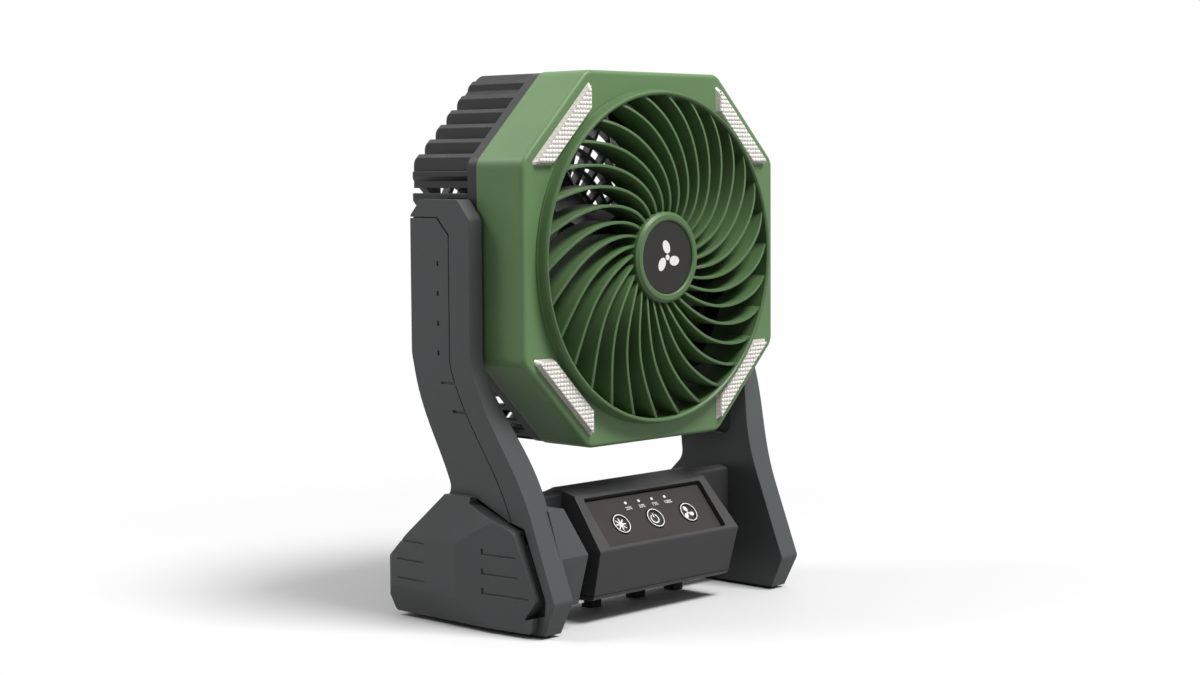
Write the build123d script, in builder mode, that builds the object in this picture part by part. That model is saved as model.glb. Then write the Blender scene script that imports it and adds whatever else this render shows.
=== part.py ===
from build123d import *
from math import atan2, cos, hypot, radians, sin
import os

# Portable camping fan on a yoke stand, in millimetres.
# X runs across the fan, the front faces -Y, Z is up and the table is z = 0.

# ---- head ----
head_half = 100.5         # half width across the flats of the octagon
head_chamfer = 48.0       # how far each corner is cut back along the flats
head_corner = 9.0         # rounding of the octagon's eight corners
head_z = 195.0            # height of the fan axis
face_y = -41.0            # front face of the head
shell_depth = 34.5
shell_wall = 2.6
shell_edge = 2.4          # rounding where the front face meets the sides
band_depth = 7.5
band_inset = 0.5
cage_depth = 45.5         # louvres, from the band to the back
pivot_y = 10.5            # tilt axis

# ---- grille ----
ring_bore = 88.0
ring_wall = 2.6
ring_proud = 6.9
ring_back = 24.0          # how far the ring reaches behind the face
vane_count = 30
vane_thick = 1.5
vane_back_y = -32.0
vane_sweep = 0.67         # degrees of spiral for each millimetre of radius
vane_start = 10.3         # angle of the first vane at its root
hub_radius = 24.8
hub_front = 10.0          # hub rim ahead of the face
badge_radius = 19.9
badge_thick = 1.2

# ---- lights ----
lens_near = 50.0          # lens corners, measured out from the fan axis
lens_far = 96.0
lens_inner = 79.5
lens_rise = 2.6
lens_plug = 2.0
lens_lip = 2.4
lens_draft = 1.3
led_board = 1.2

# ---- louvres ----
slat_pitch = 12.0
slat_reach = 5.5          # how far the blades reach in along the sides
slat_thick = 1.9
slat_lean = 45.0          # swirl of the blades, away from square to the side
rim_inset = 12.0          # rim at the back that the blades turn in to
rim_width = 5.0
cage_corner = 3.0         # rounding at the back of the louvres
shroud_bore = 86.0
back_plate = 3.0
guard_depth = 6.0
back_ribs = 36
rib_reach = 104.0
guard_rings = (84.0, 74.0, 64.0, 54.0, 44.0)
guard_ring_width = 2.4
motor_plate_radius = 34.0
boss_radius = 15.0
boss_inner = 84.0

# ---- rotor ----
blade_count = 7
blade_tip = 81.0
blade_root = 23.0
blade_thick = 1.6
blade_y = -5.5
blade_depth = 22.0
rotor_hub = 26.0
shaft_radius = 2.5
motor_radius = 21.0
motor_length = 26.0

# ---- tilt pivot ----
pin_radius = 4.5
pin_clearance = 0.05
bush_wall = 1.6
bush_lip = 0.8
move_gap = 0.3            # air between bodies that move against each other
seam = 0.35               # parting line between fixed covers
fit = 0.1                 # clearance of a piece seated in another

# ---- stand ----
arm_out = 112.0           # outer face of the arm at the top
arm_in = 102.8            # inner face of the arm at the top
leg_out = 99.4            # outer face of the leg near the table
leg_in = 85.4             # inner face of the leg
foot_out = 97.8           # outer edge where the leg meets the table
foot_in = 86.2
arm_top = 227.8
arm_slope_y = 9.0         # slopes at the front and back of the arm's top
arm_slope_z = 10.3
arm_slope_back = 8.5
arm_front = -12.5
arm_back = 33.4
bend_z = 138.0            # where the leg starts to lean forward
toe_y = -60.5
toe_z = 19.5
toe_floor = -52.0
waist_y = 15.5
waist_z = 75.5
heel_y = 60.5
heel_top = 31.0
heel_floor = 51.5
flange_depth = 15.5       # from the front edge back to the cover's parting line
arm_wall = 2.6
cover_thick = 2.4
pad_height = 1.6
pad_inset = 3.0

# ---- battery housing ----
bulge_out = 109.0
bulge_front = 100.9       # outer face at the front end of the facet
bulge_crease = 4.0
facet_run = 66.0          # how far the facet runs ahead of the crease
bulge_wall = 1.6
bulge_top = 70.0
cover_top = 218.5
cover_seam = 0.7
notch_y = -2.0
notch_z = 66.8
notch_mid_y = -35.0
notch_mid_z = 54.6
notch_width = 3.2
notch_depth = 6.0
bulge_toe_y = -50.0
bulge_toe_z = 20.0
cell_radius = 9.1
cell_length = 65.0
cell_x = 95.6
cell_low = 15.2
cell_rise = 19.4
cell_low_y = -13.0
cell_high_y = -24.0

# ---- crossbar and control box ----
box_half = 56.2
box_half_top = 52.0
ridge_y = -14.0
ridge_z = 71.5
brow_y = -29.5
brow_z = 67.6
nose_y = -52.3
nose_z = 40.4
chin_y = -45.5
chin_z = 13.0
bar_back = 9.0
bar_set = 9.0             # how far the neck sits behind the control face
bar_wall = 2.4
split_z = 15.6            # parting line between upper and lower shell
panel_half = 46.6
panel_high = 29.4
panel_sink = 2.6
panel_thick = 1.4
panel_gap = 0.8
button_pitch = 27.3
button_radius = 6.2
button_dish = 0.9
button_rim = 1.1
button_drop = 2.0         # buttons below the middle of the panel
button_gap = 0.3
button_lift = 0.5
button_travel = 0.6
light_pitch = 10.6
light_rise = 10.2
light_radius = 0.9
bar_foot_x = 18.0
bar_foot_far = 50.0
bar_foot_y = -8.0
bar_foot_height = 11.4
base_screw_y = -30.0
neck_front = -20.0
neck_low = 40.0
block_top_y = -43.6
block_top_z = 65.0
block_inner = 65.5
block_inner_top = 75.0
port_z = 30.0
port_width = 9.0
port_height = 3.4
ledge_z = 88.0
flange_inner = 12.5
cavity_floor = 48.0
groove_heights = (20.8, 31.2, 41.6)
groove_y = 40.0
groove_run = 22.0
groove_width = 0.9
groove_depth = 0.6
hook_start = -18.5
hook_ends = (-50.0, -42.0, -41.0)
dent_depth = 1.0
dent_y = 12.0
dent_top = 194.0
dent_pitch = 15.8


def octagon(half, cut, corner):
    """Points of a square with its corners cut off, and its rounding."""
    near = half - cut
    with BuildSketch(Plane.XY, mode=Mode.PRIVATE) as outline:
        with BuildLine():
            Polyline(
                (near, half), (half, near), (half, -near), (near, -half),
                (-near, -half), (-half, -near), (-half, near), (-near, half), close=True,
            )
        make_face()
        if corner > 0:
            fillet(outline.vertices(), corner)
    return outline.sketch


def head_octagon(inset, corner=head_corner):
    """The head's octagon, pulled in by inset on every side."""
    half = head_half - inset
    cut = head_chamfer - inset * (2 - 2 ** 0.5)
    return octagon(half, cut, max(corner - inset, 1.0))


def head_section(y, inset, corner=head_corner):
    """The head's octagon at depth y."""
    return front_plane(y) * head_octagon(inset, corner)


def front_plane(y, turn=0.0):
    """A plane facing the front, centred on the fan axis and turned clockwise by turn."""
    across = (cos(radians(turn)), 0, -sin(radians(turn)))
    return Plane(origin=(0, y, head_z), x_dir=across, z_dir=(0, -1, 0))


def side_plane(x):
    """A plane seen from the right, with its own x along Y and its own y along Z."""
    return Plane(origin=(x, 0, 0), x_dir=(0, 1, 0), z_dir=(1, 0, 0))


def lens_outline(inset):
    """Right-angled trapezoid along one cut corner of the face."""
    lean = inset * (1 + 2 ** 0.5)
    near = lens_near + inset
    inner = lens_inner + inset * (2 ** 0.5 - 1)
    with BuildSketch(Plane.XY, mode=Mode.PRIVATE) as outline:
        with BuildLine():
            Polyline(
                (near, lens_far - lean), (lens_far - lean, near), (inner, near), (near, inner), close=True,
            )
        make_face()
        fillet(outline.vertices(), 1.2)
    return outline.sketch


# ======== head: fixed pieces ========

face_back = face_y + shell_wall + 0.4
shell_back = face_y + shell_depth
ring_outer = ring_bore + ring_wall

with BuildPart() as front_shell:
    extrude(head_section(face_y, 0), shell_depth, dir=(0, 1, 0))
    face_rim = front_shell.faces().sort_by(Axis.Y)[0]
    fillet(face_rim.edges(), shell_edge)
    extrude(head_section(face_back, shell_wall), shell_depth, dir=(0, 1, 0), mode=Mode.SUBTRACT)
    with BuildSketch(front_plane(face_y)):
        Circle(ring_outer + fit)
    extrude(amount=2 * shell_wall, both=True, mode=Mode.SUBTRACT)
    for turn in (0, 90, 180, 270):
        with BuildSketch(front_plane(face_back, turn)):
            add(lens_outline(lens_lip))
        extrude(amount=2 * shell_wall, mode=Mode.SUBTRACT)
front_shell.part.label = "front_shell"

# spiral vanes, cut to a shallow dome, between the hub rim and the bezel ring
vane_root = hub_radius - 1.0
vane_tip = ring_bore + 0.6


def spiral_point(radius, offset):
    """A point on one vane's centre line, moved sideways by offset."""
    turn = radians(vane_start - vane_sweep * (radius - vane_root))
    slope = radians(vane_sweep) * radius
    along = hypot(1, slope)
    out = (sin(turn), cos(turn))
    side = (cos(turn), -sin(turn))
    shift = offset / along
    return (
        radius * out[0] + shift * (side[0] + slope * out[0]),
        radius * out[1] + shift * (side[1] + slope * out[1]),
    )


vane_radii = [vane_root + (vane_tip - vane_root) * step / 5 for step in range(6)]

with BuildPart() as front_grille:
    with BuildSketch(front_plane(vane_back_y)):
        with BuildSketch(mode=Mode.PRIVATE) as vane:
            with BuildLine():
                left = Spline(*[spiral_point(r, -vane_thick / 2) for r in vane_radii])
                right = Spline(*[spiral_point(r, vane_thick / 2) for r in vane_radii])
                Line(left @ 0, right @ 0)
                Line(left @ 1, right @ 1)
            make_face()
        with PolarLocations(0, vane_count):
            add(vane.sketch)
    extrude(amount=20)
    with BuildSketch(Plane(origin=(0, 0, head_z), x_dir=(1, 0, 0), z_dir=(0, 0, 1))):
        with BuildLine():
            dome = Spline(
                (hub_radius - 2, face_y - 6.0), (36, face_y - 9.7), (60, face_y - 10.2),
                (80, face_y - 8.0), (ring_bore + 1, face_y - 4.6),
            )
            Polyline(dome @ 1, (ring_bore + 1, vane_back_y), (hub_radius - 2, vane_back_y), dome @ 0)
        make_face()
    revolve(axis=Axis((0, 0, head_z), (0, 1, 0)), mode=Mode.INTERSECT)
    with BuildSketch(Plane(origin=(0, 0, head_z), x_dir=(1, 0, 0), z_dir=(0, 0, 1))):
        # bezel ring with a lip that sits on the face
        with BuildLine():
            Polyline(
                (ring_bore, face_y + ring_back), (ring_bore, face_y - ring_proud + 0.8),
                (ring_bore + 0.8, face_y - ring_proud), (ring_bore + 1.8, face_y - ring_proud),
                (ring_bore + 2.4, face_y - ring_proud + 1.2), (ring_bore + 3.0, face_y - 1.2),
                (ring_bore + 3.5, face_y - fit), (ring_outer - 0.1, face_y - fit),
                (ring_outer - 0.1, face_y + ring_back), close=True,
            )
        make_face()
        # hub cup that carries the badge
        with BuildLine():
            Polyline(
                (0, face_y - hub_front + 2.2), (badge_radius + fit, face_y - hub_front + 2.2),
                (badge_radius + fit, face_y - hub_front + 0.6), (badge_radius + 0.9, face_y - hub_front),
                (hub_radius - 1.6, face_y - hub_front), (hub_radius, face_y - hub_front + 1.6),
                (hub_radius + 0.6, vane_back_y), (hub_radius - 2.0, vane_back_y),
                (hub_radius - 2.4, face_y - hub_front + 4.2), (0, face_y - hub_front + 4.2), close=True,
            )
        make_face()
    revolve(axis=Axis((0, 0, head_z), (0, 1, 0)))
front_grille.part.label = "front_grille"

badge_y = face_y - hub_front + 2.2
with BuildPart() as hub_badge:
    with BuildSketch(front_plane(badge_y)):
        Circle(badge_radius)
    extrude(amount=badge_thick)
    chamfer(hub_badge.edges().group_by(Axis.Y)[0], 0.3)
hub_badge.part.label = "hub_badge"


def light_lens(turn, label):
    """One corner light cover with drafted sides and a plug through the face."""
    with BuildPart() as lens:
        with BuildSketch(front_plane(face_y - 0.05, turn)):
            add(lens_outline(0.3))
        with BuildSketch(front_plane(face_y - lens_rise, turn)):
            add(lens_outline(0.3 + lens_draft))
        loft()
        with BuildSketch(front_plane(face_back, turn)):
            add(lens_outline(lens_lip + fit))
        extrude(amount=face_back - face_y + 0.1)
    lens.part.label = label
    return lens


light_upper_right = light_lens(0, "light_upper_right")
light_lower_right = light_lens(90, "light_lower_right")
light_lower_left = light_lens(180, "light_lower_left")
light_upper_left = light_lens(270, "light_upper_left")

with BuildPart() as led_boards:
    for turn in (0, 90, 180, 270):
        with BuildSketch(front_plane(face_back + led_board + fit, turn)):
            add(lens_outline(lens_lip))
        extrude(amount=led_board)
led_boards.part.label = "led_boards"

# ======== head: louvred rear cage ========

band_back = shell_back + band_depth
cage_back = band_back + cage_depth
lip_length = 9.0


def slat_spots():
    """Evenly spaced points round the octagon, each with the direction of its louvre blade."""
    flat = 2 * (head_half - head_chamfer)
    slant = head_chamfer * 2 ** 0.5
    spots = []
    for quarter in range(4):
        bearing = radians(-90.0 * quarter)
        for run, start, tilt in (
            (flat, (-flat / 2, head_half), 0.0),
            (slant, (flat / 2, head_half), -45.0),
        ):
            count = round(run / slat_pitch)
            for step in range(count):
                along = (step + 0.5) * run / count
                x = start[0] + along * cos(radians(tilt))
                z = start[1] + along * sin(radians(tilt))
                spots.append((
                    x * cos(bearing) - z * sin(bearing),
                    x * sin(bearing) + z * cos(bearing),
                    90.0 + tilt - 90.0 * quarter - slat_lean,
                ))
    return spots


with BuildPart() as cage_envelope:
    extrude(head_section(band_back, band_inset), cage_depth, dir=(0, 1, 0))
    fillet(cage_envelope.faces().sort_by(Axis.Y)[-1].edges(), cage_corner)
    slim = head_section(band_back, slat_reach, 14)
    extrude(slim, cage_depth - guard_depth, dir=(0, 1, 0), mode=Mode.SUBTRACT)
    extrude(head_section(band_back, rim_inset, 20), cage_depth, dir=(0, 1, 0), mode=Mode.SUBTRACT)

with BuildPart() as rear_cage:
    # blades along the sides that turn in to the rim with a rounded corner
    with BuildSketch(front_plane(cage_back)):
        for x, z, lean in slat_spots():
            with Locations(Location((x, z), lean)):
                Rectangle(3 * rim_inset, slat_thick)
    extrude(amount=cage_depth)
    add(cage_envelope.part, mode=Mode.INTERSECT)
    # solid band with a lip that plugs into the front shell
    extrude(head_section(shell_back, band_inset), band_depth, dir=(0, 1, 0))
    extrude(head_section(shell_back - lip_length, shell_wall + fit), lip_length, dir=(0, 1, 0))
    with BuildSketch(front_plane(shell_back)):
        Circle(ring_outer + 3 * fit)
    extrude(amount=lip_length, mode=Mode.SUBTRACT)
    with BuildSketch(front_plane(band_back)):
        Circle(shroud_bore)
    extrude(amount=band_depth, mode=Mode.SUBTRACT)
    # side bosses that hold the tilt pins
    for side in (-1, 1):
        boss = Plane(origin=(side * boss_inner, pivot_y, head_z), x_dir=(0, 1, 0), z_dir=(side, 0, 0))
        with BuildSketch(boss):
            Circle(boss_radius)
        extrude(amount=head_half - band_inset - boss_inner)
        with BuildSketch(boss):
            Circle(pin_radius)
        extrude(amount=head_half, mode=Mode.SUBTRACT)
rear_cage.part.label = "rear_cage"

with BuildPart() as rear_guard:
    # rim that ties the blade ends together, rings and ribs
    with BuildSketch(front_plane(cage_back)):
        add(head_octagon(rim_inset, 20))
        add(head_octagon(rim_inset + rim_width, 20), mode=Mode.SUBTRACT)
        for radius in guard_rings:
            Circle(radius + guard_ring_width / 2)
            Circle(radius - guard_ring_width / 2, mode=Mode.SUBTRACT)
        with PolarLocations((motor_plate_radius + rib_reach) / 2, back_ribs):
            Rectangle(rib_reach - motor_plate_radius + 2, 2.2)
        add(head_octagon(rim_inset, 20), mode=Mode.INTERSECT)
    extrude(amount=guard_depth)
    with BuildSketch(front_plane(cage_back)):
        Circle(motor_plate_radius)
    extrude(amount=back_plate)
    # shaft passage and screw holes in the motor plate
    with BuildSketch(front_plane(cage_back)):
        Circle(6.0)
        with PolarLocations(14.0, 3):
            Circle(1.6)
    extrude(amount=back_plate, mode=Mode.SUBTRACT)
rear_guard.part.label = "rear_guard"


# ======== head: motor and rotor ========

plate_front = cage_back - back_plate
motor_front = plate_front - motor_length

with BuildPart() as motor_can:
    with BuildSketch(front_plane(plate_front)):
        Circle(motor_radius)
    extrude(amount=motor_length)
    fillet(motor_can.edges().group_by(Axis.Y)[0], 2.0)
    with BuildSketch(front_plane(motor_front)):
        Circle(7.0)
    extrude(amount=2.0)
    with BuildSketch(front_plane(motor_front)):
        Circle(shaft_radius + pin_clearance)
    extrude(amount=4.0, both=True, mode=Mode.SUBTRACT)
    with BuildSketch(front_plane(motor_front + 20.0)):
        Circle(shaft_radius + pin_clearance)
    extrude(amount=22.0, mode=Mode.SUBTRACT)
motor_can.part.label = "motor_can"

screw_shank = 1.5
with BuildPart() as motor_screws:
    with BuildSketch(front_plane(cage_back)):
        with PolarLocations(14.0, 3):
            Circle(screw_shank)
    extrude(amount=back_plate)
    with BuildSketch(front_plane(cage_back + 1.6)):
        with PolarLocations(14.0, 3):
            Circle(2.8)
    extrude(amount=1.6)
    with BuildSketch(front_plane(cage_back + 1.6)):
        with PolarLocations(14.0, 3):
            RegularPolygon(1.3, 6)
    extrude(amount=0.9, mode=Mode.SUBTRACT)
motor_screws.part.label = "motor_screws"

blade_front = blade_y - blade_depth

with BuildPart() as rotor_shaft:
    with BuildSketch(front_plane(motor_front + 18.0)):
        Circle(shaft_radius)
    extrude(amount=motor_front + 18.0 - (blade_front + 3.0))
    chamfer(rotor_shaft.edges().group_by(Axis.Y)[-1], 0.4)
rotor_shaft.part.label = "rotor_shaft"


def blade_section(radius, chord, pitch):
    """Blade profile at a radius, seen from the tip looking at the hub."""
    section = Plane(
        origin=(0, (blade_y + blade_front) / 2, head_z + radius), x_dir=(1, 0, 0), z_dir=(0, 0, 1),
    )
    with BuildSketch(section, mode=Mode.PRIVATE) as profile:
        with BuildLine():
            hollow = ThreePointArc((-chord / 2, 0), (0, chord * 0.07), (chord / 2, 0))
            crown = ThreePointArc((-chord / 2, 0), (0, chord * 0.07 + blade_thick), (chord / 2, 0))
        make_face()
    return profile.sketch.rotate(Axis(section.origin, (0, 0, 1)), pitch)


with BuildPart() as fan_blade:
    loft([
        blade_section(blade_root, 25.0, 50.0),
        blade_section((blade_root + blade_tip) / 2, 40.0, 33.0),
        blade_section(blade_tip, 50.0, 24.0),
    ])

with BuildPart() as fan_rotor:
    for spoke in range(blade_count):
        add(fan_blade.part.rotate(Axis((0, 0, head_z), (0, 1, 0)), spoke * 360 / blade_count))
    # hub cup, open at the back, with a boss for the shaft
    with BuildSketch(Plane(origin=(0, 0, head_z), x_dir=(1, 0, 0), z_dir=(0, 0, 1))):
        with BuildLine():
            Polyline(
                (0, blade_front), (rotor_hub - 5, blade_front), (rotor_hub, blade_front + 4),
                (rotor_hub, blade_y + 2), (rotor_hub - 2, blade_y + 2), (rotor_hub - 2, blade_front + 5),
                (6, blade_front + 5), (6, blade_y + 2), (0, blade_y + 2), close=True,
            )
        make_face()
    revolve(axis=Axis((0, 0, head_z), (0, 1, 0)))
    with BuildSketch(front_plane(blade_front + 3.0)):
        Circle(shaft_radius)
    extrude(amount=-60, mode=Mode.SUBTRACT)
fan_rotor.part.label = "fan_rotor"

# ======== tilt pivot ========

boss_face = head_half - band_inset
pin_end = arm_in + arm_wall + 1.0 + move_gap
bush_flange = 1.0


def across(side, x):
    """A plane square to the tilt axis, facing outwards on one side of the fan."""
    return Plane(origin=(side * x, pivot_y, head_z), x_dir=(0, 1, 0), z_dir=(side, 0, 0))


def tilt_pin(side, label):
    with BuildPart() as pin:
        with BuildSketch(across(side, boss_inner + 1.0)):
            Circle(pin_radius)
        extrude(amount=pin_end - boss_inner - 1.0)
        with BuildSketch(across(side, pin_end - 12.0)):
            Circle(screw_shank)
        extrude(amount=12.0, mode=Mode.SUBTRACT)
    pin.part.label = label
    return pin


def friction_washer(side, label):
    with BuildPart() as washer:
        with BuildSketch(across(side, boss_face)):
            Circle(12.0)
            Circle(pin_radius, mode=Mode.SUBTRACT)
        extrude(amount=arm_in - boss_face - move_gap)
        chamfer(washer.edges().group_by(Axis.X)[-1 if side > 0 else 0].sort_by(SortBy.LENGTH)[-1], 0.4)
    washer.part.label = label
    return washer


def pivot_bush(side, label):
    with BuildPart() as bush:
        with BuildSketch(across(side, arm_in)):
            Circle(pin_radius + bush_wall)
        extrude(amount=arm_wall)
        with BuildSketch(across(side, arm_in + arm_wall)):
            Circle(pin_radius + bush_wall + bush_lip)
        extrude(amount=bush_flange)
        with BuildSketch(across(side, arm_in)):
            Circle(pin_radius + pin_clearance)
        extrude(amount=arm_wall + bush_flange, mode=Mode.SUBTRACT)
    bush.part.label = label
    return bush


def pivot_screw(side, label):
    """Screw with a broad washer head that keeps the pin in its bush."""
    with BuildPart() as screw:
        with BuildSketch(across(side, pin_end - 11.0)):
            Circle(screw_shank)
        extrude(amount=11.0)
        with BuildSketch(across(side, pin_end)):
            Circle(pin_radius + 2.0)
        extrude(amount=1.0)
        with BuildSketch(across(side, pin_end + 1.0)):
            Circle(3.2)
            RegularPolygon(1.3, 6, mode=Mode.SUBTRACT)
        extrude(amount=0.9)
    screw.part.label = label
    return screw


tilt_pins = [tilt_pin(side, "tilt_pin_" + name) for side, name in ((-1, "left"), (1, "right"))]
tilt_washers = [friction_washer(side, "tilt_washer_" + name) for side, name in ((-1, "left"), (1, "right"))]
pivot_bushes = [pivot_bush(side, "pivot_bush_" + name) for side, name in ((-1, "left"), (1, "right"))]
pivot_screws = [pivot_screw(side, "pivot_screw_" + name) for side, name in ((-1, "left"), (1, "right"))]

# ======== stand: arms ========

front_view = Plane(origin=(0, 0, 0), x_dir=(1, 0, 0), z_dir=(0, -1, 0))
inner_edge = (arm_in, leg_in, foot_in, 146.0, 68.0)
outer_edge = (arm_out, leg_out, foot_out, 136.0, 60.0)


def rounded(corners):
    """Closed outline from (x, y, radius) corners."""
    with BuildSketch(Plane.XY, mode=Mode.PRIVATE) as outline:
        with BuildLine():
            Polyline(*[(x, y) for x, y, _ in corners], close=True)
        make_face()
        for x, y, radius in corners:
            if radius > 0:
                fillet(outline.vertices().sort_by_distance((x, y, 0))[0], radius)
    return outline.sketch


def arm_outline(inset=0.0):
    """The arm and its foot seen from the side."""
    i = inset
    return rounded([
        (toe_floor + i, pad_height + i, 0), (toe_y + i, toe_z, 3), (arm_front + i, bend_z + 3, 30),
        (arm_front + i, arm_top - arm_slope_z, 4), (arm_front + arm_slope_y, arm_top - i, 4),
        (arm_back - arm_slope_back, arm_top - i, 4), (arm_back - i, arm_top - arm_slope_back, 4),
        (arm_back - i, 146, 20),
        (waist_y - i, waist_z - 3 - i, 8), (heel_y - 0.8 - i, heel_top - i / 2, 4),
        (heel_y - i, 17, 8), (heel_floor + 4 - i, 3.4 + i, 3), (heel_floor - i, pad_height + i, 0),
    ])


def edge_x(edge, shift):
    """Top, leg and floor positions of an arm edge moved outwards by shift."""
    top, leg, floor, high, low = edge
    return top + shift, leg + shift, floor + shift, high, low


def leg_strip(edge_a, shift_a, edge_b, shift_b):
    """Region between two arm edges, seen from the front."""
    top_a, leg_a, floor_a, high_a, low_a = edge_x(edge_a, shift_a)
    top_b, leg_b, floor_b, high_b, low_b = edge_x(edge_b, shift_b)
    with BuildSketch(Plane.XY, mode=Mode.PRIVATE) as strip:
        with BuildLine():
            Polyline((top_a, high_a), (top_a, arm_top + 5), (top_b, arm_top + 5), (top_b, high_b))
            Spline((top_b, high_b), (leg_b, low_b), tangents=[(0, -1), (0, -1)])
            Polyline((leg_b, low_b), (leg_b, toe_z), (floor_b, 0), (floor_b, -5))
            Polyline((floor_b, -5), (floor_a, -5), (floor_a, 0), (leg_a, toe_z), (leg_a, low_a))
            Spline((leg_a, low_a), (top_a, high_a), tangents=[(0, 1), (0, 1)])
        make_face()
    return strip.sketch


def arm_block(side_shape, front_shape):
    """Solid that shows side_shape from the side and front_shape from the front."""
    with BuildPart() as solid:
        with BuildSketch(side_plane(60)):
            add(side_shape)
        extrude(amount=80)
        with BuildSketch(front_view):
            add(front_shape)
        extrude(amount=100, both=True, mode=Mode.INTERSECT)
    return solid.part


def lean_y(z):
    """Front edge of the leg at height z."""
    rise = (z - toe_z) / (bend_z + 3 - toe_z)
    return toe_y + (arm_front - toe_y) * rise


def behind(depth, low, high):
    """Region behind the arm's front edge by depth, between two heights."""
    return rounded([
        (lean_y(low) + depth, low, 0), (arm_front + depth, bend_z + 3, 22), (arm_front + depth, high - 9, 0),
        (arm_front + depth + 9, high, 0), (90, high, 0), (90, low, 0),
    ])


bulge_side = [
    (notch_y, bulge_top, 0), (notch_y, notch_z, 1), (notch_mid_y, notch_mid_z, 5),
    (bulge_toe_y, bulge_toe_z, 5),
    (bulge_toe_y + 3.5, 2.6, 2), (90, 2.6, 0), (90, bulge_top, 0),
]
# deep groove between the housing and the leg's front flange
notch_side = [
    (notch_y, notch_z + notch_width, 1.2), (notch_mid_y + 7.5, notch_mid_z + notch_width + 1.2, 3),
    (notch_mid_y - 3.9, notch_mid_z + 1.9, 1.5), (bulge_toe_y - 4.2, bulge_toe_z + 0.5, 1),
    (bulge_toe_y - 3, 12.5, 0.8), (bulge_toe_y + 8, 9.4, 0.4), (bulge_toe_y + 1.6, 17.5, 0),
    (bulge_toe_y, bulge_toe_z, 0),
    (notch_mid_y, notch_mid_z, 0), (notch_y, notch_z, 0.8),
]


def cover_side(gap):
    """Outline of the outer cover from the side, drawn in by gap at its seams."""
    with BuildSketch(Plane.XY, mode=Mode.PRIVATE) as outline:
        add(arm_outline())
        add(behind(flange_depth + gap, notch_mid_z - 3, cover_top - gap), mode=Mode.INTERSECT)
        with BuildSketch(mode=Mode.PRIVATE) as low:
            add(arm_outline())
            add(rounded(bulge_side), mode=Mode.INTERSECT)
        add(low.sketch)
    return outline.sketch


def bulge_solid(inset, front=-70.0):
    """Battery housing outside the leg, shrunk by inset and cut off ahead of front."""
    i = inset
    with BuildPart() as solid:
        with BuildSketch(side_plane(leg_out - 2)):
            add(arm_outline(i))
            shrunk = [(y + i * 1.3, max(z - i * 0.9, 2.6 + i), r) for y, z, r in bulge_side]
            add(rounded(shrunk), mode=Mode.INTERSECT)
        extrude(amount=bulge_out - leg_out + 10)
        with BuildSketch(front_view):
            add(rounded([
                (leg_in, bulge_top + 6, 0), (leg_out + 2.5 - i, bulge_top + 6, 0), (bulge_out - i, 46, 14),
                (bulge_out - i, 16, 8), (bulge_out - 3.5 - i, -1, 0), (leg_in, -1, 0),
            ]))
        extrude(amount=100, both=True, mode=Mode.INTERSECT)
        with BuildSketch(Plane.XY):
            add(rounded([
                (leg_in, -70, 0), (bulge_front - i, bulge_crease - facet_run, 0),
                (bulge_out - i, bulge_crease, 16), (bulge_out - i, heel_y - 3, 4),
                (bulge_out - 4 - i, heel_y + 1, 0), (leg_in, heel_y + 1, 0),
            ]))
        extrude(amount=90, mode=Mode.INTERSECT)
        split(bisect_by=Plane.XZ.offset(-front), keep=Keep.BOTTOM)
    return solid.part


facet_angle = atan2(bulge_out - bulge_front, facet_run)


def facet_plane(depth):
    """Plane along the housing's front facet, sunk by depth."""
    origin = (bulge_out - depth * cos(facet_angle), bulge_crease + depth * sin(facet_angle), 0)
    along = (sin(facet_angle), cos(facet_angle), 0)
    return Plane(origin=origin, x_dir=along, z_dir=(cos(facet_angle), -sin(facet_angle), 0))


skin = arm_block(cover_side(cover_seam), leg_strip(outer_edge, -cover_thick, outer_edge, 0))
bulge = bulge_solid(0)
bulge_room = bulge_solid(bulge_wall, cell_high_y - 4)
cover_room = arm_block(cover_side(0), leg_strip(outer_edge, -cover_thick - fit, outer_edge, 40))


def cell_plane(y, rise):
    return Plane(origin=(cell_x, y, cell_low + rise), x_dir=(1, 0, 0), z_dir=(0, 1, 0))


with BuildPart() as cells_right:
    for y, rise in ((cell_low_y, 0.0), (cell_high_y, cell_rise)):
        with BuildSketch(cell_plane(y, rise)):
            Circle(cell_radius)
        extrude(amount=cell_length)
        with BuildSketch(cell_plane(y + cell_length, rise)):
            Circle(2.8)
        extrude(amount=1.4)
cells_right.part.label = "battery_cells_right"

with BuildPart() as cell_room:
    for y, rise in ((cell_low_y, 0.0), (cell_high_y, cell_rise)):
        with BuildSketch(cell_plane(y - 0.4, rise)):
            Circle(cell_radius + 0.3)
        extrude(amount=cell_length + 2.3)

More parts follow.
